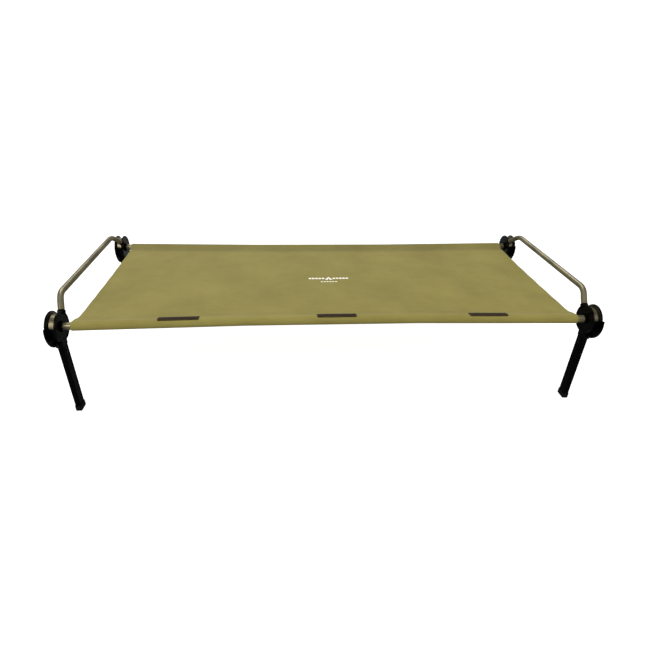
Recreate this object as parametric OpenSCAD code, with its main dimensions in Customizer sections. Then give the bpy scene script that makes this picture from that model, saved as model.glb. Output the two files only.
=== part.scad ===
// Folding camp cot: a fabric deck on two sectional side rails, carried at each end by a
// bent end bar with two round hubs, and four legs that pivot on the hubs.
// Origin on the floor under the middle of the deck, +X along the cot, +Y to the rear
// side, +Z up. Millimetres. Every corner is drawn once, in its own corner frame, and
// mirrored to its place.

/* [Overall] */
// Distance between the inboard faces of the left and right hub discs
disc_span = 1958; // [1500:1:2400]
// Distance between the front and rear hub axes
axis_width = 786; // [600:1:960]
// Height of the hub axes above the floor
axis_height = 374; // [280:1:460]

/* [Hub] */
// Radius of the inner disc
disc_r = 56; // [50:0.5:68]
// Thickness of the inner disc
disc_t = 7; // [5:0.5:10]
// Radius of the ring boss round the rail end
boss_r = 20; // [18:0.5:24]
// Length of the ring boss
boss_len = 5; // [3:0.5:8]
// Outer radius of the steel hub drum
drum_r = 46; // [42:0.5:50]
// Length of the hub drum along the axis
drum_len = 20; // [18:0.5:26]
// Wall of the hub drum
drum_wall = 2.5; // [2:0.1:4]
// Radius of the hub drum's middle barrel
barrel_r = 17; // [15:0.5:20]
// Wall of the inner disc's skirt round the lower part of the drum
skirt_t = 4; // [3:0.5:5]
// Height of the skirt's top edge above the hub axis
skirt_up = 14; // [8:0.5:18]
// Thickness of the thrust washers on each side of the leg head
washer_t = 0.5; // [0.4:0.1:1]
// Radius of the thrust washers
washer_r = 24; // [18:0.5:28]
// Thickness of the pressed outer plate
plate_t = 2; // [1.5:0.1:3]
// Thickness of the moulded outer cover behind the plate
cover_t = 4; // [3:0.5:6]
// Width of the outer cover's rim round the plate
cover_rim = 3; // [2:0.5:5]

/* [Axle] */
// Radius of the shoulder that the leg turns on
shoulder_r = 8; // [6:0.5:9]
// Radius of the axle's threaded end
thread_r = 5; // [4:0.5:6]
// Thickness of the axle head
bolt_head_t = 6; // [4:0.5:8]
// Thickness of the lock nut
nut_t = 5; // [4:0.5:7]
// Radius of the stop pin
pin_r = 4; // [3:0.5:5]
// Distance from the axle to the stop pin
pin_ring = 35; // [33:0.5:38]

/* [End bar] */
// Outer diameter of the end bar tube
bar_d = 23; // [18:0.5:26]
// Wall of the end bar tube
bar_wall = 1.5; // [1:0.1:2.5]
// Height of the bar's straight middle above the hub axes
bar_rise = 86; // [70:0.5:140]
// Outward lean of the bar's plane in degrees
bar_lean = 21; // [10:0.5:24]
// How far inboard of the disc face the bar's plane passes at hub height
bar_foot = 6.5; // [4:0.5:9]
// Distance along the width from each hub axis to the start of the bend
bar_shoulder = 124; // [110:1:150]
// Bend radius of the bar's centreline
bar_bend_r = 78; // [50:1:90]
// Bend angle in degrees
bar_bend = 39; // [35:0.5:45]
// Gap between the hub drum and the square end of the bar
bar_gap = 5; // [4.5:0.5:8]
// Wall of the socket that holds the bar's end
socket_wall = 2.6; // [2:0.1:4]
// Length of the bar's end held in the socket
socket_grip = 8; // [6:0.5:14]

/* [Leg] */
// Thickness of the leg tube along the cot
leg_x = 20; // [16:0.5:22]
// Width of the leg tube across the cot
leg_y = 40; // [32:0.5:46]
// Wall of the leg tube
leg_wall = 1.5; // [1.2:0.1:2.5]
// Corner radius of the leg tube
leg_corner = 3; // [2:0.5:5]
// Outer radius of the crescent on the leg head
head_r = 76; // [70:0.5:84]
// Thickness of the crescent
head_t = 4.5; // [3.5:0.5:6]
// Height of the crescent's tips above the hub axis
tip_up = 27; // [20:0.5:34]
// Depth of the hollow in the crescent's top edge
scoop_deep = 14; // [8:0.5:20]
// Half width of the leg head's shoulder above its collar
shoulder_y = 34; // [28:1:36]
// Distance from the hub axis down to the end of the leg head's collar
collar_drop = 80; // [76:0.5:95]
// Height of the foot cap
cap_h = 22; // [16:0.5:36]
// Wall of the foot cap and the leg head's collar
cap_wall = 2; // [1.5:0.1:3]
// Thickness of the foot cap's sole
sole_t = 4; // [3:0.5:8]

/* [Rails] */
// Outer diameter of the side rail tube
rail_d = 28; // [25:0.5:32]
// Wall of the side rail tube
rail_wall = 1.5; // [1:0.1:2.5]
// How far the middle section stands inboard of the hub axes
rail_bow = 19; // [0:1:30]
// Length of the rail's middle section
rail_mid = 650; // [400:1:800]
// Length of each end of a rail joiner inside its tube
joiner_len = 60; // [40:1:90]
// How much smaller the rail end's spigot is in radius than the rail's bore
spigot_step = 1.5; // [1:0.1:3]

/* [Deck] */
// Gap between the inboard disc face and the sleeve's end
sleeve_gap = 33; // [22:1:60]
// Gap between the sleeve's end and the deck's hem
hem_back = 8; // [5:1:30]
// Radius of the sweep from the hem out to the sleeve's end
ear_r = 45; // [25:1:60]
// Thickness of the sewn sleeve, fabric and seam together
sleeve_t = 3; // [2:0.1:5]
// Thickness of the deck panel
panel_t = 3; // [2:0.1:5]
// Height of the deck panel's top above the rail axis
panel_up = 9; // [4:0.5:10]
// Length of each loop strip on the sleeve
strip_len = 150; // [80:1:200]
// Thickness of the loop strips
strip_t = 1.5; // [1:0.1:2.5]
// Angle round the sleeve from its crest out to each strip's outer edge
strip_over = 27; // [0:1:60]
// Angle round the sleeve between the deck's top and each strip's inner edge
strip_lift = 4; // [2:0.5:10]
// Distance from the middle strip to each outer strip
strip_pitch = 585; // [300:1:700]
// How far the row of strips stands off the middle, towards the right
strip_shift = 13; // [0:1:40]

/* [Fits] */
// Radial running clearance of the pivots and spigots
run_fit = 0.05; // [0.02:0.01:0.1]
// Clearance between parts that are fastened or pressed together
seat_gap = 0.05; // [0.02:0.01:0.2]
// Clearance between neighbours that move past each other
free_gap = 0.4; // [0.3:0.1:1]

/* [Hidden] */
$fn = 64;
far = 400;
sides = ["left", "right"];
ends = ["front", "rear"];

// corner frame: +X outboard along the cot, +Y outboard across it, +Z up, origin on the
// hub axis at the inner disc's inboard face
head_from = disc_t + drum_len + washer_t;
head_to = head_from + head_t;
plate_from = head_to + washer_t;
cover_r = cover_rim + disc_r - 2;
plate_r = cover_r - cover_rim;
cover_to = plate_from + plate_t + cover_t;
thread_from = disc_t + drum_len - 8 - nut_t;
spigot_to = thread_from - 0.5;
leg_mid = head_to - 0.5 - cap_wall + 1 - leg_x / 2;
collar_top = disc_r + 2;
plug_len = 40;
rivet_r = 2.5;
rivet_drops = [collar_drop + 12, collar_drop + 28];

// crescent's hollow top edge, an arc through both its tips
tip_y = sqrt(head_r * head_r - tip_up * tip_up);
scoop_r = (tip_y * tip_y + scoop_deep * scoop_deep) / (2 * scoop_deep);
scoop_z = tip_up - scoop_deep + scoop_r;
slot_half = pin_r + 0.3;

// bar centreline in the bar's own leaning plane, measured from the hub axis
bar_r = bar_d / 2;
bar_top = bar_rise / cos(bar_lean);
bend_in = bar_shoulder - bar_bend_r * sin(bar_bend);
bend_up = bar_top - bar_bend_r * (1 - cos(bar_bend));
bar_near = bend_in * cos(bar_bend) + bend_up * sin(bar_bend);
bar_tail = bar_near - drum_r - bar_gap;

// a tube that turns is drawn a little thinner past its turn, and starts just before it
bend_draw = 0.25;
rod_start = 1;

socket_r = bar_r + seat_gap + socket_wall;
socket_from = bar_tail - socket_grip;
socket_to = bar_tail + 4;

rail_r = rail_d / 2;
rail_end_x = disc_span / 2 - 1;
rail_knuckle = [rail_mid / 2, axis_width / 2 - rail_bow];
rail_slope = atan2(rail_bow, rail_end_x - rail_mid / 2);
rail_reach = norm([rail_end_x - rail_mid / 2, rail_bow]);
rail_joint_gap = 0.6;
bore_r = rail_r - rail_wall - 0.1;
spigot_r = rail_r - rail_wall - spigot_step;
nut_r = spigot_r - 2.2;

sleeve_in = rail_r + free_gap;
sleeve_out = sleeve_in + sleeve_t;
sleeve_end_x = disc_span / 2 - sleeve_gap;
hem_x = sleeve_end_x - hem_back;

// ---- places ----------------------------------------------------------------------

module at_corner(side, end) {
    mirror([side == "left" ? 1 : 0, 0, 0])
        mirror([0, end == "front" ? 1 : 0, 0])
            translate([disc_span / 2, axis_width / 2, axis_height])
                children();
}

// both corners of one end frame
module both_corners(side) {
    for (end = ends) at_corner(side, end) children();
}

// 2D outline in the YZ plane, thickened from x = from
module slab_x(from, t) {
    translate([from, 0, 0]) rotate([90, 0, 90]) linear_extrude(t) children();
}

module rod_x(from, to, r) {
    translate([from, 0, 0]) rotate([0, 90, 0]) cylinder(h = to - from, r = r);
}

module round_box(size, r) {
    union() {
        square([size[0] - 2 * r, size[1]], center = true);
        square([size[0], size[1] - 2 * r], center = true);
        for (i = [-1, 1]) for (j = [-1, 1])
            translate([i * (size[0] / 2 - r), j * (size[1] / 2 - r)]) circle(r);
    }
}

// disc with rounded edges, from x = from
module soft_disc(from, t, r, edge) {
    translate([from, 0, 0]) rotate([0, 90, 0]) rotate_extrude() union() {
        square([r - edge, t]);
        translate([0, edge]) square([r, t - 2 * edge]);
        translate([r - edge, edge]) circle(edge);
        translate([r - edge, t - edge]) circle(edge);
    }
}

// ---- end bar ---------------------------------------------------------------------

// into the bar's leaning plane: X across the cot towards the middle, Y up the plane
module bar_plane() {
    translate([-bar_foot, 0, 0]) rotate([0, bar_lean, 0]) rotate([90, 0, -90])
        children();
}

// the stretch from the bend to the hub, as a rod that starts tail past the bend's end
module bar_leg(from, to, r) {
    bar_plane() translate([bend_in, bend_up, 0]) rotate([0, 0, 180 + bar_bend])
        rotate([0, 90, 0]) translate([0, 0, from]) cylinder(h = to - from, r = r);
}

// the whole bar as one rod: its bends are a little thinner, as a drawn tube's are, and run
// two degrees into their neighbours
module bar_rod(r, extra) {
    for (end = ends) mirror([0, end == "front" ? 1 : 0, 0])
        translate([0, axis_width / 2, 0]) {
            bar_leg(0, bar_tail + extra, r);
            bar_plane() translate([bar_shoulder, bar_top - bar_bend_r, 0])
                rotate([0, 0, 88]) rotate_extrude(angle = bar_bend + 4)
                    translate([bar_bend_r, 0]) circle(r - bend_draw);
        }
    translate([0, axis_width / 2, 0]) bar_plane() translate([bar_shoulder, bar_top, 0])
        rotate([0, 90, 0]) cylinder(h = axis_width - 2 * bar_shoulder, r = r);
}

module end_bar(side) {
    color("#8f8a72") mirror([side == "left" ? 1 : 0, 0, 0])
        translate([disc_span / 2, 0, axis_height]) difference() {
            bar_rod(bar_r, 0);
            bar_rod(bar_r - bar_wall, 1);
        }
}

// ---- hub -------------------------------------------------------------------------

module inner_disc(side, end) {
    dish_r = disc_r - 6;
    color("#141414") at_corner(side, end) difference() {
        union() {
            soft_disc(0, disc_t, disc_r, 2);
            rod_x(-boss_len, disc_t, boss_r);
            bar_leg(socket_from, socket_to, socket_r);
            slab_x(disc_t - 1, drum_len + 1) difference() {
                circle(drum_r + seat_gap + skirt_t);
                translate([-far, skirt_up]) square(2 * far);
            }
        }
        difference() {
            rod_x(-0.1, 1.5, dish_r);
            rod_x(-1, 2, boss_r);
            bar_leg(socket_from, socket_to, socket_r);
        }
        bar_leg(0, bar_tail + seat_gap, bar_r + seat_gap);
        rod_x(disc_t, far, drum_r + seat_gap);
        rod_x(-boss_len - 20, 0, rail_r + 1);
        rod_x(-1, far, spigot_r + run_fit);
    }
}

module hub_drum(side, end) {
    web_from = disc_t + drum_len - drum_wall;
    color("#9a947c") at_corner(side, end) difference() {
        rod_x(disc_t, disc_t + drum_len, drum_r);
        difference() {
            rod_x(disc_t - 1, web_from, drum_r - drum_wall);
            rod_x(disc_t - 2, far, barrel_r);
        }
        rod_x(disc_t - 1, thread_from + nut_t, spigot_r + run_fit);
        rod_x(disc_t - 1, far, thread_r + seat_gap);
        pin_place() rod_x(0, far, pin_r + seat_gap);
    }
}

module pin_place() {
    rotate([-45, 0, 0]) translate([0, 0, -pin_ring]) children();
}

module stop_pins(side) {
    color("#8a8d90") both_corners(side) pin_place()
        rod_x(disc_t + drum_len - drum_wall, plate_from + plate_t, pin_r);
}

module axle_bolts(side) {
    color("#8a8d90") both_corners(side) {
        rod_x(disc_t + drum_len, cover_to, shoulder_r);
        rod_x(thread_from, disc_t + drum_len, thread_r);
        translate([cover_to, 0, 0]) rotate([0, 90, 0])
            cylinder(h = bolt_head_t, r = shoulder_r + 3, $fn = 6);
    }
}

module axle_nuts(side) {
    color("#8a8d90") both_corners(side) difference() {
        translate([thread_from, 0, 0]) rotate([0, 90, 0])
            cylinder(h = nut_t, r = nut_r, $fn = 6);
        rod_x(0, far, thread_r + seat_gap);
    }
}

module thrust_washers(side) {
    color("#d8d4c8") both_corners(side) difference() {
        union() {
            rod_x(disc_t + drum_len, head_from, washer_r);
            rod_x(head_to, plate_from, washer_r);
        }
        rod_x(0, far, shoulder_r + seat_gap);
    }
}

module outer_plate(side, end) {
    color("#9a947c") at_corner(side, end) difference() {
        rod_x(plate_from, plate_from + plate_t, plate_r - seat_gap);
        rod_x(0, far, shoulder_r + seat_gap);
        pin_place() rod_x(0, far, pin_r + seat_gap);
    }
}

module outer_cover(side, end) {
    floor_from = plate_from + plate_t;
    color("#141414") at_corner(side, end) difference() {
        soft_disc(plate_from, cover_to - plate_from, cover_r, 1.5);
        rod_x(plate_from - 1, floor_from, plate_r);
        difference() {
            rod_x(cover_to - 1.5, far, cover_r - 8);
            rod_x(0, far + 1, shoulder_r + 8);
        }
        rod_x(0, far + 2, shoulder_r + seat_gap);
    }
}

// ---- legs ------------------------------------------------------------------------

module stop_slot() {
    rotate([0, 90, 0]) translate([0, 0, head_from - 1]) {
        rotate([0, 0, -45]) rotate_extrude(angle = 90)
            translate([pin_ring - slot_half, 0]) square([2 * slot_half, head_t + 2]);
        for (a = [-45, 45]) rotate([0, 0, a]) translate([pin_ring, 0, 0])
            cylinder(h = head_t + 2, r = slot_half);
    }
}

module leg_head(side, end) {
    collar_y = leg_y + 2 * cap_wall;
    color("#141414") at_corner(side, end) difference() {
        union() {
            slab_x(head_from, head_t) union() {
                difference() {
                    circle(head_r);
                    translate([0, scoop_z]) circle(scoop_r);
                }
                circle(washer_r);
            }
            translate([leg_mid, 0, -collar_drop]) linear_extrude(collar_drop - collar_top)
                round_box([leg_x + 2 * cap_wall, collar_y], leg_corner + 1);
            slab_x(leg_mid, head_to - leg_mid)
                polygon([[-shoulder_y, -disc_r], [shoulder_y, -disc_r],
                         [collar_y / 2, -collar_drop], [-collar_y / 2, -collar_drop]]);
            translate([leg_mid, 0, -collar_drop - plug_len]) linear_extrude(plug_len + 1)
                round_box([leg_x - 2 * leg_wall - 0.1, leg_y - 2 * leg_wall - 0.1],
                          leg_corner - leg_wall);
        }
        rod_x(0, far, shoulder_r + run_fit);
        stop_slot();
        rod_x(0, head_from - 0.01, collar_top);
        for (d = rivet_drops) translate([0, 0, -d]) rod_x(0, far, rivet_r + seat_gap);
        rod_x(head_to, far, far);
    }
}

module leg_tube(side, end) {
    foot = axis_height - sole_t;
    color("#161616") at_corner(side, end) difference() {
        translate([leg_mid, 0, -foot]) linear_extrude(foot - collar_drop) difference() {
            round_box([leg_x, leg_y], leg_corner);
            round_box([leg_x - 2 * leg_wall, leg_y - 2 * leg_wall], leg_corner - leg_wall);
        }
        for (d = rivet_drops) translate([0, 0, -d]) rod_x(0, far, rivet_r + seat_gap);
    }
}

module foot_cap(side, end) {
    color("#101010") at_corner(side, end) translate([leg_mid, 0, -axis_height])
        difference() {
            linear_extrude(cap_h)
                round_box([leg_x + 2 * cap_wall, leg_y + 2 * cap_wall], leg_corner + 1);
            translate([0, 0, sole_t]) linear_extrude(cap_h)
                round_box([leg_x + 2 * seat_gap, leg_y + 2 * seat_gap], leg_corner);
        }
}

module leg_rivets(side, end) {
    near = leg_mid - leg_x / 2;
    color("#303030") at_corner(side, end) for (d = rivet_drops) translate([0, 0, -d]) {
        rod_x(near, near + leg_x, rivet_r);
        for (x = [near - 1.2, near + leg_x]) rod_x(x, x + 1.2, rivet_r + 2);
    }
}

// ---- side rails ------------------------------------------------------------------

module at_end(end) {
    mirror([0, end == "front" ? 1 : 0, 0]) translate([0, 0, axis_height]) children();
}

// along the right-hand end section, from the knuckle outwards
module rail_run(from, to, r) {
    translate([rail_knuckle[0], rail_knuckle[1], 0]) rotate([0, 0, rail_slope])
        rod_x(from, to, r);
}

module mid_run(from, to, r) {
    translate([0, rail_knuckle[1], 0]) rod_x(from, to, r);
}

module rail_side(side, end) {
    color("#8f8a72") at_end(end) mirror([side == "left" ? 1 : 0, 0, 0]) difference() {
        rail_run(rail_joint_gap, rail_reach, rail_r);
        rail_run(0, rail_reach + 1, rail_r - rail_wall);
    }
}

module rail_middle(end) {
    half = rail_mid / 2 - rail_joint_gap;
    color("#8f8a72") at_end(end) difference() {
        mid_run(-half, half, rail_r);
        mid_run(-half - 1, half + 1, rail_r - rail_wall);
    }
}

module rail_joiners(end) {
    color("#9a9c9e") at_end(end) for (m = [0, 1]) mirror([m, 0, 0]) {
        mid_run(rail_knuckle[0] - joiner_len, rail_knuckle[0], bore_r);
        rail_run(-rod_start, joiner_len, bore_r - bend_draw);
    }
}

module rail_plug(side, end) {
    color("#202020") at_end(end) mirror([side == "left" ? 1 : 0, 0, 0]) union() {
        rail_run(rail_reach - 36, rail_reach - 3, bore_r);
        translate([0, axis_width / 2, 0])
            rod_x(rail_end_x - 12, disc_span / 2 + spigot_to, spigot_r);
    }
}

// ---- fabric ----------------------------------------------------------------------

// one side's sleeve as a rod: its end runs are a little thinner and start just inside the
// middle run
module sleeve_rod(r, end_x) {
    mid_run(-rail_knuckle[0], rail_knuckle[0], r);
    for (m = [0, 1]) mirror([m, 0, 0])
        rail_run(-rod_start, (end_x - rail_knuckle[0]) / cos(rail_slope), r - bend_draw);
}

// half the deck panel's edge, inside the sleeve's wall, at a place along the cot
function edge_y(x) = axis_width / 2 - sleeve_out + 0.35 * panel_up
    - (x > rail_knuckle[0] ? (rail_end_x - x) * tan(rail_slope) : rail_bow);

module deck_panel() {
    ear_x = sleeve_end_x - 1;
    ear_y = edge_y(hem_x) - ear_r;
    spots = [ear_x, rail_knuckle[0]];
    difference() {
        polygon([for (q = [[1, 1], [-1, 1], [-1, -1], [1, -1]])
            for (i = q[0] * q[1] > 0 ? [0, 1] : [1, 0])
                [q[0] * spots[i], q[1] * edge_y(spots[i])]]);
        for (m = [0, 1]) mirror([m, 0]) {
            translate([hem_x, -ear_y]) square([far, 2 * ear_y]);
            for (j = [-1, 1]) translate([hem_x + ear_r - 2, j * ear_y]) circle(ear_r);
        }
    }
}

module deck_fabric() {
    color("#968c52") difference() {
        union() {
            for (end = ends) at_end(end) sleeve_rod(sleeve_out, sleeve_end_x);
            translate([0, 0, axis_height + panel_up - panel_t]) linear_extrude(panel_t)
                deck_panel();
        }
        for (end = ends) at_end(end) sleeve_rod(sleeve_in, sleeve_end_x + 5);
    }
}

// a strip bent over the sleeve's crest and down its inboard side
module strip_on_run() {
    wrap = 90 + strip_over - asin(panel_up / sleeve_out) - strip_lift;
    rotate([0, 90, 0]) rotate([0, 0, 180 - strip_over]) rotate_extrude(angle = wrap)
        translate([sleeve_out + 0.02, 0]) square([strip_t, strip_len]);
}

module loop_strips() {
    color("#3a2610") at_end("front") {
        translate([strip_shift - strip_len / 2, rail_knuckle[1], 0]) strip_on_run();
        for (m = [0, 1]) mirror([m, 0, 0])
            translate([rail_knuckle[0], rail_knuckle[1], 0]) rotate([0, 0, rail_slope])
                translate([strip_along(m) - strip_len / 2, 0, 0]) strip_on_run();
    }
}

// how far past the knuckle an outer strip's middle stands, right m = 0 or left m = 1
function strip_along(m) =
    (strip_pitch + (m == 0 ? strip_shift : -strip_shift) - rail_mid / 2) / cos(rail_slope);

// ---- nodes -----------------------------------------------------------------------

deck_fabric();
loop_strips();
for (e = ends) {
    rail_middle(e);
    rail_joiners(e);
    for (s = sides) {
        rail_side(s, e);
        rail_plug(s, e);
        inner_disc(s, e);
        hub_drum(s, e);
        outer_plate(s, e);
        outer_cover(s, e);
        leg_head(s, e);
        leg_tube(s, e);
        foot_cap(s, e);
        leg_rivets(s, e);
    }
}
for (s = sides) {
    end_bar(s);
    axle_bolts(s);
    axle_nuts(s);
    thrust_washers(s);
    stop_pins(s);
}
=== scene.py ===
import math

import bpy
from mathutils import Matrix, Vector


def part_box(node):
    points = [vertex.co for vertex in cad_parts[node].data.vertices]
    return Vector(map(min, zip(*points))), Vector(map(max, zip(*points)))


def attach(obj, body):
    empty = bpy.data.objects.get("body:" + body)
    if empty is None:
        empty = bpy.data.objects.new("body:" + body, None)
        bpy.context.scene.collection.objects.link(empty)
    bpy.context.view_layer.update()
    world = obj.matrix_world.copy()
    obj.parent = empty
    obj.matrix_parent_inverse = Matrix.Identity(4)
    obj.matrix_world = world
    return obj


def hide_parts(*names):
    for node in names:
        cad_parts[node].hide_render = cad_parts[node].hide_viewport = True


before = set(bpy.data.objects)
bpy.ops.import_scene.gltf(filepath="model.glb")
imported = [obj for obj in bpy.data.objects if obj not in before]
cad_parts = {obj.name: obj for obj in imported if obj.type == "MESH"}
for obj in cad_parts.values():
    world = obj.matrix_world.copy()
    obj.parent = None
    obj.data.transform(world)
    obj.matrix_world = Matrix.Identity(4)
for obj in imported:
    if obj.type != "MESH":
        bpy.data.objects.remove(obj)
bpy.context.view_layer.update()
bpy.ops.object.select_all(action="DESELECT")

# camera and light

view = {
    "place": (-0.1681, -1.9101, 1.2535),
    "turn": 4.80,       # degrees to the right of straight across the cot
    "down": 30.07,      # degrees below level
    "tilt": 1.58,       # degrees, clockwise
    "lens": 26.2,       # mm on a 36 mm sensor
}


def addCamera():
    turn = math.radians(view["turn"])
    down = math.radians(view["down"])
    tilt = math.radians(view["tilt"])
    ahead = Vector((math.sin(turn) * math.cos(down), math.cos(turn) * math.cos(down),
                    -math.sin(down)))
    right = Vector((math.cos(turn), -math.sin(turn), 0))
    up = right.cross(ahead)
    across = math.cos(tilt) * right + math.sin(tilt) * up
    upright = math.cos(tilt) * up - math.sin(tilt) * right
    data = bpy.data.cameras.new("camera")
    data.lens = view["lens"]
    data.sensor_width = 36
    data.clip_end = 200
    camera = bpy.data.objects.new("camera", data)
    bpy.context.scene.collection.objects.link(camera)
    turned = Matrix((across, upright, -ahead)).transposed().to_4x4()
    camera.matrix_world = Matrix.Translation(view["place"]) @ turned
    bpy.context.scene.camera = camera


studio = {
    "floorColour": "#a8a8a6",
    "floorGlow": 0.85,      # lifts the paper to white, and only the camera sees it
    "roomLight": 0.35,      # light that comes evenly from the room
    "backdrop": 1.05,       # how bright the camera sees the room
    # soft lights far away: (name, strength, degrees round from behind, height, softness)
    "farLights": (("back", 1.5, -12, 52, 40), ("fore", 2.0, -165, 42, 36)),
    # soft panels nearby: (name, watts, place, width)
    "panels": (("fill", 14, (-2.4, -2.0, 2.2), 1.4), ("front", 6, (2.6, -2.0, 1.9), 1.4)),
}


def srgb(code):
    # hex colour to the linear values that a shader socket takes
    parts = [int(code[i:i + 2], 16) / 255 for i in (1, 3, 5)]
    return tuple(c / 12.92 if c <= 0.04045 else ((c + 0.055) / 1.055) ** 2.4 for c in parts) + (1,)


def plug(tree, made, links):
    # links: {input name or number: a socket or a plain value}
    for name, value in links.items():
        socket = made.inputs[name]
        if isinstance(value, bpy.types.NodeSocket):
            tree.links.new(value, socket)
        else:
            socket.default_value = value


def addNode(tree, kind, settings=None, links=None, stops=()):
    # stops: (place, hex colour) of each end of a colour ramp
    made = tree.nodes.new(kind)
    for name, value in (settings or {}).items():
        setattr(made, name, value)
    plug(tree, made, links or {})
    for number, (place, colour) in enumerate(stops):
        made.color_ramp.elements[number].color = srgb(colour)
        made.color_ramp.elements[number].position = place
    return made


def newMaterial(name):
    material = bpy.data.materials.new(name)
    material.use_nodes = True
    tree = material.node_tree
    tree.nodes.clear()
    shader = addNode(tree, "ShaderNodeBsdfPrincipled")
    output = addNode(tree, "ShaderNodeOutputMaterial")
    tree.links.new(shader.outputs["BSDF"], output.inputs["Surface"])
    return material, tree, shader


def addLight(name, power, place, size):
    data = bpy.data.lights.new(name, "AREA")
    data.energy = power
    data.size = size
    light = bpy.data.objects.new(name, data)
    bpy.context.scene.collection.objects.link(light)
    light.location = place
    aim = Vector((0, 0, 0.3)) - Vector(place)
    light.rotation_euler = aim.to_track_quat("-Z", "Y").to_euler()


def addStudio():
    bpy.ops.mesh.primitive_plane_add(size=120)
    floor = bpy.context.object
    floor.name = "studioFloor"
    material, tree, shader = newMaterial("paleStudioPaper")
    seen = addNode(tree, "ShaderNodeLightPath").outputs["Is Camera Ray"]
    glow = addNode(tree, "ShaderNodeMath", {"operation": "MULTIPLY"}, {
        0: seen, 1: studio["floorGlow"]})
    plug(tree, shader, {
        "Base Color": srgb(studio["floorColour"]), "Roughness": 0.95,
        "Specular IOR Level": 0.1, "Emission Color": srgb("#ffffff"),
        "Emission Strength": glow.outputs[0]})
    floor.data.materials.append(material)
    world = bpy.data.worlds.new("softStudio")
    world.use_nodes = True
    tree = world.node_tree
    seen = addNode(tree, "ShaderNodeLightPath").outputs["Is Camera Ray"]
    level = addNode(tree, "ShaderNodeMapRange", links={
        "Value": seen, "To Min": studio["roomLight"], "To Max": studio["backdrop"]})
    plug(tree, tree.nodes["Background"], {
        "Color": srgb("#ffffff"), "Strength": level.outputs["Result"]})
    bpy.context.scene.world = world
    bpy.context.scene.view_settings.view_transform = "Standard"
    for name, strength, turn, height, soft in studio["farLights"]:
        data = bpy.data.lights.new(name + "Sun", "SUN")
        data.energy = strength
        data.angle = math.radians(soft)
        sun = bpy.data.objects.new(name + "Sun", data)
        bpy.context.scene.collection.objects.link(sun)
        turn, height = math.radians(turn), math.radians(height)
        aim = Vector((-math.sin(turn) * math.cos(height), -math.cos(turn) * math.cos(height),
                      -math.sin(height)))
        sun.rotation_euler = aim.to_track_quat("-Z", "Y").to_euler()
    for name, power, place, size in studio["panels"]:
        addLight(name + "Light", power, place, size)
    bpy.ops.object.select_all(action="DESELECT")


addCamera()
addStudio()
print("camera and studio light set")

# materials


# powder-coated steel tube: a satin paint skin with a faint orange peel and soft wear
paintedTube = {
    "dark": "#6a644c",
    "light": "#878063",
    "roughness": 0.33,
    "peelSize": 0.0012,     # metres between the bumps of the coat
    "peelRelief": 0.12,
    "cloudSize": 0.09,      # metres across a patch of wear
    "metallic": 0.7,
}


def makeTubePaint():
    material, tree, shader = newMaterial("bronzePowderCoatedSteel")
    place = addNode(tree, "ShaderNodeTexCoord").outputs["Object"]
    cloud = addNode(tree, "ShaderNodeTexNoise", links={
        "Vector": place, "Scale": 1 / paintedTube["cloudSize"], "Detail": 5.0})
    tone = addNode(tree, "ShaderNodeValToRGB", links={"Fac": cloud.outputs["Fac"]},
                   stops=((0.35, paintedTube["dark"]), (0.65, paintedTube["light"])))
    peel = addNode(tree, "ShaderNodeTexNoise", links={
        "Vector": place, "Scale": 1 / paintedTube["peelSize"], "Detail": 2.0})
    rough = addNode(tree, "ShaderNodeMapRange", links={
        "Value": cloud.outputs["Fac"], "To Min": paintedTube["roughness"] - 0.05,
        "To Max": paintedTube["roughness"] + 0.09})
    bump = addNode(tree, "ShaderNodeBump", links={
        "Height": peel.outputs["Fac"], "Strength": paintedTube["peelRelief"],
        "Distance": 0.0002})
    plug(tree, shader, {
        "Base Color": tone.outputs["Color"], "Roughness": rough.outputs["Result"],
        "Normal": bump.outputs["Normal"], "Metallic": paintedTube["metallic"]})
    return material


# pressed and turned steel with a yellow passivated zinc skin: fine rings and soft blotches
hubSteel = {
    "dark": "#4a4333",
    "light": "#7d745c",
    "roughness": 0.30,
    "blotchSize": 0.022,
    "grainSize": 0.0008,
    "grainStretch": 6.0,    # the turning marks run round, so they are short along the axle
    "grainRelief": 0.18,
    "metallic": 0.85,
}


def makeHubSteel():
    material, tree, shader = newMaterial("yellowZincPressedSteel")
    place = addNode(tree, "ShaderNodeTexCoord").outputs["Object"]
    blotch = addNode(tree, "ShaderNodeTexNoise", links={
        "Vector": place, "Scale": 1 / hubSteel["blotchSize"], "Detail": 6.0, "Roughness": 0.62})
    tone = addNode(tree, "ShaderNodeValToRGB", links={"Fac": blotch.outputs["Fac"]},
                   stops=((0.3, hubSteel["dark"]), (0.7, hubSteel["light"])))
    stretched = addNode(tree, "ShaderNodeMapping", links={
        "Vector": place, "Scale": (hubSteel["grainStretch"], 1.0, 1.0)})
    grain = addNode(tree, "ShaderNodeTexNoise", links={
        "Vector": stretched.outputs["Vector"], "Scale": 0.3 / hubSteel["grainSize"], "Detail": 3.0})
    rough = addNode(tree, "ShaderNodeMapRange", links={
        "Value": blotch.outputs["Fac"], "To Min": hubSteel["roughness"] - 0.06,
        "To Max": hubSteel["roughness"] + 0.16})
    bump = addNode(tree, "ShaderNodeBump", links={
        "Height": grain.outputs["Fac"], "Strength": hubSteel["grainRelief"], "Distance": 0.0002})
    plug(tree, shader, {
        "Base Color": tone.outputs["Color"], "Roughness": rough.outputs["Result"],
        "Normal": bump.outputs["Normal"], "Metallic": hubSteel["metallic"]})
    return material


# bright zinc on bolts, nuts and pins: cool grey with a fine crystal bloom
zinc = {
    "dark": "#8b8d90",
    "light": "#a9abad",
    "bloomsPerMetre": 420.0,        # 2.4 mm across
    "smooth": 0.24,
    "rough": 0.42,
    "metallic": 0.9,
}


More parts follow.
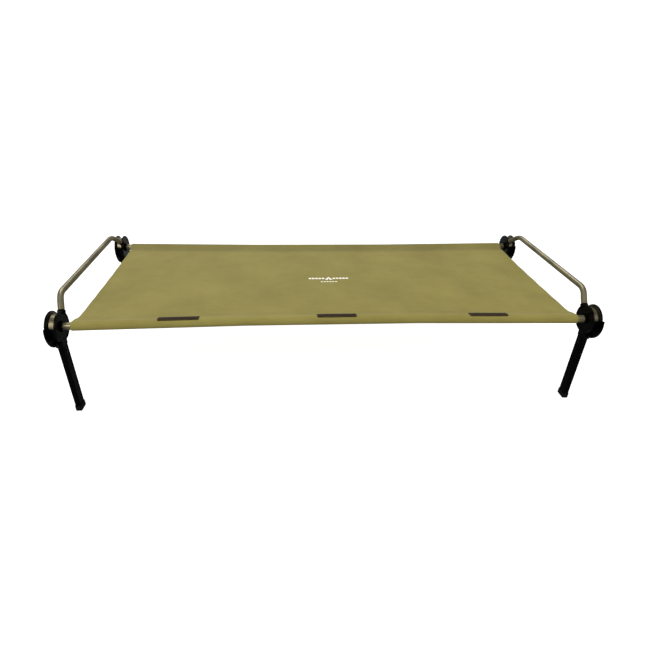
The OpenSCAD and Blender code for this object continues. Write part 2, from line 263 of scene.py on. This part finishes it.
def makeZinc():
    material, tree, shader = newMaterial("brightZincSteel")
    place = addNode(tree, "ShaderNodeTexCoord").outputs["Object"]
    bloom = addNode(tree, "ShaderNodeTexVoronoi", links={
        "Vector": place, "Scale": zinc["bloomsPerMetre"]})
    tone = addNode(tree, "ShaderNodeValToRGB", links={"Fac": bloom.outputs["Distance"]},
                   stops=((0, zinc["dark"]), (1, zinc["light"])))
    rough = addNode(tree, "ShaderNodeMapRange", links={
        "Value": bloom.outputs["Distance"], "To Min": zinc["smooth"], "To Max": zinc["rough"]})
    plug(tree, shader, {
        "Base Color": tone.outputs["Color"], "Roughness": rough.outputs["Result"],
        "Metallic": zinc["metallic"]})
    return material


# injection-moulded or coated parts: a fine spark-eroded grain that breaks up the gloss, and a
# little dust. (dark, light, roughness, metres between grains, relief, shine, metallic)
grained = {
    "blackGlassFilledNylon": ("#020202", "#050506", 0.24, 0.0009, 0.12, 0.05, 0.0),
    "blackSatinPowderCoat": ("#020202", "#040405", 0.40, 0.0011, 0.16, 0.02, 0.0),
    "blackMouldedRubber": ("#070707", "#101010", 0.72, 0.0013, 0.35, 0.1, 0.0),
    "blackenedRivetSteel": ("#141416", "#26262a", 0.34, 0.0006, 0.12, 0.2, 0.7),
    "naturalNylonWasher": ("#bdb8a6", "#d8d4c8", 0.5, 0.0010, 0.2, 0.3, 0.0),
}
dustPerMetre = 26.0


def makeGrained(name):
    dark, light, roughness, grainSize, relief, shine, metallic = grained[name]
    material, tree, shader = newMaterial(name)
    place = addNode(tree, "ShaderNodeTexCoord").outputs["Object"]
    grain = addNode(tree, "ShaderNodeTexNoise", links={
        "Vector": place, "Scale": 1 / grainSize, "Detail": 3.0})
    dust = addNode(tree, "ShaderNodeTexNoise", links={
        "Vector": place, "Scale": dustPerMetre, "Detail": 6.0, "Roughness": 0.65})
    tone = addNode(tree, "ShaderNodeValToRGB", links={"Fac": dust.outputs["Fac"]},
                   stops=((0.4, dark), (0.75, light)))
    rough = addNode(tree, "ShaderNodeMapRange", links={
        "Value": dust.outputs["Fac"], "To Min": roughness - 0.06, "To Max": roughness + 0.1})
    bump = addNode(tree, "ShaderNodeBump", links={
        "Height": grain.outputs["Fac"], "Strength": relief, "Distance": 0.0003})
    plug(tree, shader, {
        "Base Color": tone.outputs["Color"], "Roughness": rough.outputs["Result"],
        "Normal": bump.outputs["Normal"], "Metallic": metallic, "Specular IOR Level": shine})
    return material


# woven polyester, plain weave with a coated back: warp and weft ribs cross at right angles.
# The threads are 0.6 mm apart on such cloth and are drawn 1.5 mm apart so that they show
cloth = {
    "thread": 0.0015,
    "dark": "#7a7037",
    "light": "#8c8345",
    "roughness": 0.72,
    "shine": 0.15,
    "sheen": 0.05,
    "slubs": (14.0, 160.0, 1.0),    # thick places per metre, along and across the cloth
    "cloudsPerMetre": 4.5,
    "slubShare": 0.25,              # how much of the tone is slubs, the rest being clouds
    "weaveShare": 0.16,
    "relief": 0.25,
    "paintedHighlight": 0.26,           # painted highlight: a paler line along the front sleeve's top
    "paintedHighlightAt": 0.008,        # inboard of the rail's axis
    "paintedHighlightHalf": 0.006,
    "paintedShade": 0.25,          # painted shade: a darker band along the rear edge
    "paintedShadeTo": 0.088,
    "paintedShadeSoft": 0.035,
}


def paintedLightAt(y, inboard):
    # painted highlight on the front sleeve and painted shade along the rear edge: how much brighter
    # or darker the cloth is drawn, kept in the mesh for its material
    if y < 0:
        # painted highlight along the front sleeve's top
        return cloth["paintedHighlight"] * max(0.0, 1 - abs(inboard - cloth["paintedHighlightAt"]) / cloth["paintedHighlightHalf"])
    # painted shade along the rear edge
    share = (cloth["paintedShadeTo"] - inboard) / cloth["paintedShadeSoft"]
    return -cloth["paintedShade"] * min(1.0, max(0.0, share))


def makeCloth():
    material, tree, shader = newMaterial("olivePolyesterOxford")
    cut = addNode(tree, "ShaderNodeUVMap", {"uv_map": "cut"}).outputs["UV"]
    waves = 1 / cloth["thread"] / 20 * math.pi      # one wave is a thread over and one under
    ribs = [addNode(tree, "ShaderNodeTexWave", {"bands_direction": way, "wave_profile": "SIN"}, {
        "Vector": cut, "Scale": waves, "Distortion": 0.6, "Detail": 1.0}) for way in "XY"]
    weave = addNode(tree, "ShaderNodeMath", {"operation": "MULTIPLY"}, {
        0: ribs[0].outputs["Fac"], 1: ribs[1].outputs["Fac"]})
    stretched = addNode(tree, "ShaderNodeMapping", links={"Vector": cut, "Scale": cloth["slubs"]})
    slub = addNode(tree, "ShaderNodeTexNoise", links={
        "Vector": stretched.outputs["Vector"], "Scale": 1.0, "Detail": 4.0})
    cloud = addNode(tree, "ShaderNodeTexNoise", links={
        "Vector": cut, "Scale": cloth["cloudsPerMetre"], "Detail": 5.0, "Roughness": 0.6})
    slubPart = addNode(tree, "ShaderNodeMath", {"operation": "MULTIPLY"}, {
        0: slub.outputs["Fac"], 1: cloth["slubShare"]})
    mixed = addNode(tree, "ShaderNodeMath", {"operation": "MULTIPLY_ADD"}, {
        0: cloud.outputs["Fac"], 1: 1 - cloth["slubShare"], 2: slubPart.outputs[0]})
    woven = addNode(tree, "ShaderNodeMath", {"operation": "MULTIPLY_ADD"}, {
        0: weave.outputs[0], 1: cloth["weaveShare"], 2: mixed.outputs[0]})
    tone = addNode(tree, "ShaderNodeValToRGB", links={"Fac": woven.outputs[0]},
                   stops=((0.35, cloth["dark"]), (0.72, cloth["light"])))
    # painted highlight and painted shade, read from the mesh, scale the cloth's tone
    paintedLight = addNode(tree, "ShaderNodeAttribute", {"attribute_name": "paintedLight"})
    bright = addNode(tree, "ShaderNodeMath", {"operation": "ADD"}, {
        0: paintedLight.outputs["Fac"], 1: 1.0})
    paintedLightTone = addNode(tree, "ShaderNodeHueSaturation", links={
        "Color": tone.outputs["Color"], "Value": bright.outputs[0]})
    bump = addNode(tree, "ShaderNodeBump", links={
        "Height": weave.outputs[0], "Strength": cloth["relief"], "Distance": 0.0004})
    plug(tree, shader, {
        "Base Color": paintedLightTone.outputs["Color"], "Normal": bump.outputs["Normal"],
        "Roughness": cloth["roughness"], "Specular IOR Level": cloth["shine"],
        "Sheen Weight": cloth["sheen"], "Sheen Roughness": 0.5})
    return material


# brushed nylon loop tape: a matt pile of tiny curls
tape = {
    "dark": "#1c1206",
    "light": "#33210e",
    "curlsPerMetre": 900.0,
    "tuftsPerMetre": 90.0,
    "relief": 0.7,
}


def makeLoopTape():
    material, tree, shader = newMaterial("brownNylonLoopTape")
    place = addNode(tree, "ShaderNodeTexCoord").outputs["Object"]
    pile = addNode(tree, "ShaderNodeTexVoronoi", links={
        "Vector": place, "Scale": tape["curlsPerMetre"]})
    tuft = addNode(tree, "ShaderNodeTexNoise", links={
        "Vector": place, "Scale": tape["tuftsPerMetre"], "Detail": 6.0})
    tone = addNode(tree, "ShaderNodeValToRGB", links={"Fac": tuft.outputs["Fac"]},
                   stops=((0.35, tape["dark"]), (0.7, tape["light"])))
    bump = addNode(tree, "ShaderNodeBump", links={
        "Height": pile.outputs["Distance"], "Strength": tape["relief"], "Distance": 0.0008})
    plug(tree, shader, {
        "Base Color": tone.outputs["Color"], "Normal": bump.outputs["Normal"],
        "Roughness": 0.95, "Specular IOR Level": 0.1, "Sheen Weight": 0.05})
    return material


# screen-printed ink on cloth: matt, slightly broken by the weave under it
def makeInk():
    material, tree, shader = newMaterial("creamScreenInk")
    place = addNode(tree, "ShaderNodeTexCoord").outputs["Object"]
    weave = addNode(tree, "ShaderNodeTexNoise", links={
        "Vector": place, "Scale": 500.0, "Detail": 2.0})        # 2 mm across
    tone = addNode(tree, "ShaderNodeValToRGB", links={"Fac": weave.outputs["Fac"]},
                   stops=((0, "#e8e3cc"), (1, "#fffdf2")))
    plug(tree, shader, {"Base Color": tone.outputs["Color"], "Roughness": 0.85})
    return material


# bonded polyester thread, one shade darker than the cloth
def makeThread():
    material, tree, shader = newMaterial("olivePolyesterThread")
    place = addNode(tree, "ShaderNodeTexCoord").outputs["Object"]
    twist = addNode(tree, "ShaderNodeTexNoise", links={
        "Vector": place, "Scale": 1500.0})      # the ply turns once in 0.7 mm
    tone = addNode(tree, "ShaderNodeValToRGB", links={"Fac": twist.outputs["Fac"]},
                   stops=((0, "#655d33"), (1, "#8d8450")))
    plug(tree, shader, {"Base Color": tone.outputs["Color"], "Roughness": 0.6})
    return material


tubePaint = makeTubePaint()
hubMetal = makeHubSteel()
zincSteel = makeZinc()
discNylon, legPaint, footRubber, rivetSteel, washerNylon = [makeGrained(name) for name in grained]
deckCloth = makeCloth()
loopTape = makeLoopTape()
markInk = makeInk()
seamThread = makeThread()

nodeFinish = {
    "rail_left": tubePaint, "rail_middle": tubePaint, "rail_right": tubePaint,
    "end_bar": tubePaint, "hub_drum": hubMetal, "outer_plate": hubMetal,
    "rail_joiners": zincSteel, "axle_bolts": zincSteel, "axle_nuts": zincSteel,
    "stop_pins": zincSteel, "inner_disc": discNylon, "outer_cover": discNylon,
    "leg_head": discNylon, "rail_plug": discNylon, "leg_tube": legPaint,
    "foot_cap": footRubber, "leg_rivets": rivetSteel, "thrust_washers": washerNylon,
    "deck_fabric": deckCloth, "loop_strips": loopTape,
}
for name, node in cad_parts.items():
    for ending, material in nodeFinish.items():
        if name.endswith(ending):
            node.data.materials.clear()
            node.data.materials.append(material)
print("materials set on", len(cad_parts), "nodes")

# the deck's cloth

railLow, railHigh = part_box("front_rail_middle")
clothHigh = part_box("deck_fabric")[1]
drumLow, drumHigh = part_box("rear_right_hub_drum")
railZ = (railLow.z + railHigh.z) / 2
midY = -(railLow.y + railHigh.y) / 2
knuckleX = railHigh.x
hubY = (drumLow.y + drumHigh.y) / 2
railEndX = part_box("front_rail_right")[1].x

deck = {
    "thickness": 0.0013,
    "sleeveRadius": clothHigh.z - railZ,    # outside of the sleeve
    "sleeveEnd": clothHigh.x,
    "deckRise": 0.009,      # deck's top above the rail's axis
    "seamIn": 0.042,        # sleeve's seam, inboard of the rail's axis
    "flap": 0.012,          # cloth past the seam, underneath
    "hemBack": 0.008,       # hem inboard of the sleeve's end
    "earRadius": 0.045,
    "sag": 0.0035,
    "sagShape": 1.4,        # higher keeps the panel flatter near the seams
    "stations": 150,
    "panelSteps": 36,
    "crowdAlong": 0.9,      # towards 1, the steps get shorter at the edges
    "crowdAcross": 0.96,
}

# slack left by the sewing. Waves and wander are in radians per metre
ripples = {
    "endPull": 0.0007,      # height of the pulls that run in from the ends
    "endReach": 0.11,
    "endWaves": 58,
    "endWander": 5,
    "slack": 0.0004,        # height of the long waves over the panel
    "slackWaves": (9.5, 6.3),
    "slackWander": 7,
    "pucker": 0.0002,       # height of the puckers along the sleeves
    "puckerReach": 0.016,
    "puckerWaves": 150,
    "calmEdge": 9,          # higher lets the waves come closer to the seams
}


def railY(x):
    past = max(0.0, abs(x) - knuckleX)
    return midY + past * (hubY - midY) / (railEndX - knuckleX)


def endX(inboard):
    # where the cloth ends along the cot, at a distance inboard of the rail's axis
    hem = deck["sleeveEnd"] - deck["hemBack"]
    radius = deck["earRadius"]
    reach = deck["sleeveRadius"] + radius - deck["thickness"]
    if inboard >= reach:
        return hem
    rise = radius - math.sqrt(max(0.0, radius ** 2 - (reach - inboard) ** 2))
    return min(deck["sleeveEnd"], hem + rise)


def ripple(x, y):
    fromEnd = max(0.0, deck["sleeveEnd"] - abs(x))
    bend = 2.1 * math.sin(x * ripples["endWander"])
    pull = (math.exp(-fromEnd / ripples["endReach"])
            * math.sin(y * ripples["endWaves"] + bend) * ripples["endPull"])
    along, across = ripples["slackWaves"]
    bend = 1.7 * math.sin(y * ripples["slackWander"])
    slack = math.sin(x * along + bend) * math.sin(y * across + 0.8) * ripples["slack"]
    fromSeam = max(0.0, railY(x) - deck["seamIn"] - abs(y))
    pucker = (math.exp(-fromSeam / ripples["puckerReach"])
              * math.sin(x * ripples["puckerWaves"]) * ripples["pucker"])
    return pull + slack + pucker


def panelZ(x, y):
    # middle of the cloth's thickness over the panel, between the seams
    half = railY(x) - deck["seamIn"]
    share = min(1.0, abs(y) / half)
    base = railZ + deck["deckRise"] - deck["thickness"] / 2
    calm = min(1.0, (1 - share) * ripples["calmEdge"])
    return base - deck["sag"] * (1 - share ** 2) ** deck["sagShape"] + calm * ripple(x, y)


def lowerTangent(point, radius):
    # place on the sleeve's circle where a straight line from point meets it underneath
    away = math.hypot(*point)
    lean = math.acos(radius / away)
    return math.atan2(point[1], point[0]) % (2 * math.pi) + lean


def sleeveLine():
    # (outboard, up) from the rail's axis, from the flap's edge round to the top seam
    radius = deck["sleeveRadius"] - deck["thickness"] / 2
    top = deck["deckRise"] - deck["thickness"] / 2
    seam = (-deck["seamIn"], top)
    under = (-deck["seamIn"], top - 1.25 * deck["thickness"])
    start = lowerTangent(under, radius)
    finish = 2 * math.pi + math.atan2(seam[1], seam[0]) - math.acos(radius / math.hypot(*seam))
    line = [(-deck["seamIn"] - deck["flap"] * (1 - i / 3), under[1]) for i in range(3)]
    touch = (radius * math.cos(start), radius * math.sin(start))
    line += [tuple(under[k] + (touch[k] - under[k]) * i / 6 for k in (0, 1)) for i in range(6)]
    turns = 34
    for i in range(turns + 1):
        angle = start + (finish - start) * i / turns
        line.append((radius * math.cos(angle), radius * math.sin(angle)))
    last = line[-1]
    line += [tuple(last[k] + (seam[k] - last[k]) * i / 7 for k in (0, 1)) for i in range(1, 7)]
    return line


def crowded(share, crowd):
    # from -1 to 1, in steps that get shorter towards both ends
    return math.sin(share * math.pi / 2 * crowd) / math.sin(math.pi / 2 * crowd)


def crossing(x, line):
    # one section of the cloth from the front flap to the rear flap, as (y, z, inboard)
    y = railY(x)
    front = [(-(y + out), railZ + up, -out) for out, up in line]
    half = y - deck["seamIn"]
    steps = deck["panelSteps"]
    panel = []
    for i in range(2 * steps + 1):
        share = crowded(i / steps - 1, deck["crowdAcross"])
        panel.append((share * half, panelZ(x, share * half), y - abs(share * half)))
    rear = [(y + out, railZ + up, -out) for out, up in reversed(line)]
    return front + panel + rear


def finishPiece(piece, material, body, smooth=40):
    piece.data.materials.clear()
    piece.data.materials.append(material)
    bpy.ops.object.select_all(action="DESELECT")
    piece.select_set(True)
    bpy.context.view_layer.objects.active = piece
    bpy.ops.object.transform_apply(location=True, rotation=True, scale=True)
    bpy.ops.object.shade_smooth_by_angle(angle=math.radians(smooth))
    piece.select_set(False)
    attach(piece, body)


def pieceFrom(name, points, faces):
    mesh = bpy.data.meshes.new(name)
    mesh.from_pydata(points, [], faces)
    mesh.update()
    piece = bpy.data.objects.new(name, mesh)
    bpy.context.scene.collection.objects.link(piece)
    return piece


def applyModifier(piece, kind, **settings):
    bpy.ops.object.select_all(action="DESELECT")
    piece.select_set(True)
    bpy.context.view_layer.objects.active = piece
    modifier = piece.modifiers.new(kind.lower(), kind)
    for name, value in settings.items():
        setattr(modifier, name, value)
    bpy.ops.object.modifier_apply(modifier=modifier.name)
    piece.select_set(False)


def makeDeck():
    line = sleeveLine()
    stations = deck["stations"]
    rows, cuts, paintedLight, width = [], [], [], 0
    for i in range(stations + 1):
        share = crowded(i / stations * 2 - 1, deck["crowdAlong"])
        section = crossing(share * deck["sleeveEnd"], line)
        row, cut, run = [], [], 0
        for j, (y, z, inboard) in enumerate(section):
            x = share * endX(inboard)
            if j:
                run += math.hypot(y - section[j - 1][0], z - section[j - 1][1])
            row.append((x, y, z))
            cut.append((x, run))
            # painted highlight or painted shade at this point of the cloth
            paintedLight.append(paintedLightAt(y, inboard))
        rows.append(row)
        cuts.append(cut)
        width = max(width, run)
    across = len(rows[0])
    points = [p for row in rows for p in row]
    flat = [c for cut in cuts for c in cut]
    faces = [(i * across + j, (i + 1) * across + j, (i + 1) * across + j + 1, i * across + j + 1)
             for i in range(stations) for j in range(across - 1)]
    piece = pieceFrom("deckCloth", points, faces)
    layer = piece.data.uv_layers.new(name="cut")
    for loop in piece.data.loops:
        layer.data[loop.index].uv = flat[loop.vertex_index]
    piece.data.attributes.new("paintedLight", "FLOAT", "POINT").data.foreach_set("value", paintedLight)
    applyModifier(piece, "SOLIDIFY", thickness=deck["thickness"], offset=0)
    finishPiece(piece, deckCloth, "deck", 60)
    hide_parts("deck_fabric")
    return piece, width


deckPiece, cutWidth = makeDeck()
print("deck cloth", len(deckPiece.data.polygons), "faces, cut", round(cutWidth, 3), "m wide")

# stitching

stitch = {
    "pitch": 0.005,
    "length": 0.0036,
    "radius": 0.00045,
    "seamRows": (0.003, 0.010),     # inboard of the sleeve's seam
    "hemRows": (0.003, 0.018),      # inboard of the hem
    "hemShort": 0.014,              # the hem's rows stop short of the seams by this
    "hemEdges": (0.0004, 0.010, 0.021),
    "hemEnd": 0.013,                # the turned-under hem stops short of the seams by this
}


def stitchShape():
    # one stitch: a short round thread, tucked in at both ends
    bpy.ops.mesh.primitive_uv_sphere_add(segments=6, ring_count=4, radius=1)
    shape = bpy.context.object
    points = [v.co.copy() for v in shape.data.vertices]
    faces = [tuple(f.vertices) for f in shape.data.polygons]
    bpy.data.objects.remove(shape)
    return points, faces


def sewn(name, lines):
    # lines: lists of (place, up) that the thread follows, joined in one piece
    base, sides = stitchShape()
    points, faces = [], []
    for line in lines:
        gone = 0.0
        for (a, upA), (b, upB) in zip(line, line[1:]):
            span = (b - a).length
            if span < 1e-9:
                continue
            while gone < span:
                place = a.lerp(b, gone / span)
                along = (b - a).normalized()
                up = upA.lerp(upB, gone / span).normalized()
                side = up.cross(along).normalized()
                start = len(points)
                for p in base:
                    points.append(place + along * p.z * stitch["length"] / 2
                                  + side * p.x * stitch["radius"] + up * p.y * stitch["radius"])
                faces += [tuple(start + k for k in f) for f in sides]
                gone += stitch["pitch"]
            gone -= span
    piece = pieceFrom(name, points, faces)
    finishPiece(piece, seamThread, "deck", 180)
    return piece


def topOf(x, y):
    return Vector((x, y, panelZ(x, y) + deck["thickness"] / 2))


def deckSeams():
    up = Vector((0, 0, 1))
    lines = []
    reach = deck["sleeveEnd"] - deck["hemBack"]
    for side in (-1, 1):
        for inset in stitch["seamRows"]:
            spots = [reach * (i / 80 - 1) for i in range(161)]
            lines.append([(topOf(x, side * (railY(x) - deck["seamIn"] - inset)), up) for x in spots])
        for inset in stitch["hemRows"]:
            x = side * (reach - inset)
            half = railY(x) - deck["seamIn"] - stitch["hemShort"]
            lines.append([(topOf(x, half * (i / 60 - 1)), up) for i in range(121)])
    return sewn("deckStitching", lines)


deckThread = deckSeams()


# the turned-under edge of each end hem
def makeHems():
    points, faces = [], []
    reach = deck["sleeveEnd"] - deck["hemBack"]
    drop = 1.1 * deck["thickness"]
    for side in (-1, 1):
        start = len(points)
        steps = 60
        for i in range(steps + 1):
            for inset in stitch["hemEdges"]:
                x = side * (reach - inset)
                half = railY(x) - deck["seamIn"] - stitch["hemEnd"]
                y = half * (2 * i / steps - 1)
                points.append((x, y, panelZ(x, y) - drop))
        for i in range(steps):
            for j in range(2):
                k = start + 3 * i + j
                quad = (k, k + 1, k + 4, k + 3)
                faces.append(quad if side < 0 else tuple(reversed(quad)))
    piece = pieceFrom("endHems", points, faces)
    layer = piece.data.uv_layers.new(name="cut")
    for loop in piece.data.loops:
        layer.data[loop.index].uv = points[loop.vertex_index][:2]
    applyModifier(piece, "SOLIDIFY", thickness=deck["thickness"], offset=0)
    finishPiece(piece, deckCloth, "deck", 60)
    return piece


hems = makeHems()
print("stitching and hems sewn")

# loop tape strips on the sleeves

strips = {
    "length": 0.150,
    "outer": 0.008,         # outer edge, outboard of the rail's axis
    "inner": -0.021,        # inner edge, down the slope of the deck
    "lift": 0.0002,
    "thickness": 0.0014,
    "corner": 0.003,
    "rowIn": 0.0025,        # thread, inside the strip's edge
    "edge": 0.0003,         # rounding of the strip's edges
    "wave": 0.00015,        # height of the strip's own waves
    "waves": 310,           # radians per metre
}


def sleeveTop(x, out, high):
    # a point that stands high above the sleeve's top line, and the way up there
    radius = deck["sleeveRadius"]
    seam = Vector((-deck["seamIn"], deck["deckRise"]))
    turn = math.atan2(seam.y, seam.x) - math.acos(radius / seam.length)
    normal = Vector((math.cos(turn), math.sin(turn)))
    touch = normal * radius
    if out > touch.x:
        normal = Vector((out / radius, math.sqrt(1 - (out / radius) ** 2)))
        spot = normal * radius
    else:
        spot = touch.lerp(seam, (touch.x - out) / (touch.x - seam.x))
    spot = spot + normal * high
    slope = 0 if abs(x) < knuckleX else math.copysign((hubY - midY) / (railEndX - knuckleX), x)
    up = Vector((slope * normal.x, -normal.x, normal.y)).normalized()
    return Vector((x, -railY(x) - spot.x, railZ + spot.y)), up


def makeStrips():
    low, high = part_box("loop_strips")
    middle = (low.x + high.x) / 2
    reach = (high.x - low.x - strips["length"]) / 2
    along, across = 40, 10
    points, faces, lines = [], [], []
    for centre in (middle - reach, middle, middle + reach):
        start = len(points)
        for i in range(along + 1):
            u = 2 * i / along - 1
            fromEnd = (1 - abs(u)) * strips["length"] / 2
            draw = 0.0
            if fromEnd < strips["corner"]:
                short = strips["corner"] - fromEnd
                draw = strips["corner"] - math.sqrt(strips["corner"] ** 2 - short ** 2)
            for j in range(across + 1):
                outer = strips["outer"] - draw
                inner = strips["inner"] + draw
                out = inner + (outer - inner) * j / across
                x = centre + u * strips["length"] / 2
                wave = strips["wave"] * math.sin(x * strips["waves"] + 2 * j)
                place, _ = sleeveTop(x, out, strips["lift"] + strips["thickness"] / 2 + wave)
                points.append(place)
        for i in range(along):
            for j in range(across):
                k = start + i * (across + 1) + j
                faces.append((k, k + 1, k + across + 2, k + across + 1))
        inset = strips["rowIn"]
        left = centre - strips["length"] / 2 + inset
        right = centre + strips["length"] / 2 - inset
        outer, inner = strips["outer"] - inset, strips["inner"] + inset
        border = [(left + (right - left) * i / 20, outer) for i in range(21)]
        border += [(right, outer + (inner - outer) * i / 6) for i in range(1, 7)]
        border += [(right + (left - right) * i / 20, inner) for i in range(1, 21)]
        border += [(left, inner + (outer - inner) * i / 6) for i in range(1, 7)]
        lines.append([sleeveTop(x, out, strips["lift"] + strips["thickness"]) for x, out in border])
    piece = pieceFrom("loopTapeStrips", points, faces)
    applyModifier(piece, "SOLIDIFY", thickness=strips["thickness"], offset=0)
    applyModifier(piece, "BEVEL", width=strips["edge"], segments=2, limit_method="ANGLE")
    finishPiece(piece, loopTape, "deck", 50)
    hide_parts("loop_strips")
    return [piece, sewn("stripStitching", lines)]


stripPieces = makeStrips()
print("loop strips sewn on")

# printed mark: a plain row of dashes and a small tent shape

mark = {
    "centre": (0.010, -0.012),
    "lift": 0.00012,
    "ink": 0.0001,          # thickness of the print
    "dashes": 5,            # on each side of the tent
    "dashFrom": 0.024,
    "dash": (0.0115, 0.012),
    "pitch": 0.0145,
    "tent": 0.017,
    "tentHeight": 0.028,
    "door": 0.004,
    "dots": 6,
    "dot": (0.009, 0.007),
    "dotPitch": 0.0125,
    "dotDrop": 0.034,
}


def block(x, y, size):
    w, h = size[0] / 2, size[1] / 2
    return [(x - w, y - h), (x + w, y - h), (x + w, y + h), (x - w, y + h)]


def makeMark():
    cx, cy = mark["centre"]
    wide, foot, top = mark["tent"], cy - mark["tentHeight"] / 2, cy + mark["tentHeight"] / 2
    door = mark["door"]
    shapes = [block(cx + side * (mark["dashFrom"] + i * mark["pitch"]), cy, mark["dash"])
              for side in (-1, 1) for i in range(mark["dashes"])]
    shapes += [block(cx + (i - (mark["dots"] - 1) / 2) * mark["dotPitch"], cy - mark["dotDrop"],
                     mark["dot"])
               for i in range(mark["dots"])]
    # the tent: two slopes that leave its doorway open
    shapes.append([(cx - wide, foot), (cx - door, foot), (cx, cy + door), (cx, top)])
    shapes.append([(cx + door, foot), (cx + wide, foot), (cx, top), (cx, cy + door)])
    points, faces = [], []
    for shape in shapes:
        start = len(points)
        points += [topOf(x, y) + Vector((0, 0, mark["lift"])) for x, y in shape]
        faces.append(tuple(range(start, len(points))))
    piece = pieceFrom("printedMark", points, faces)
    applyModifier(piece, "SOLIDIFY", thickness=mark["ink"], offset=0)
    finishPiece(piece, markInk, "deck", 30)
    return piece


markPiece = makeMark()

print("scene built")
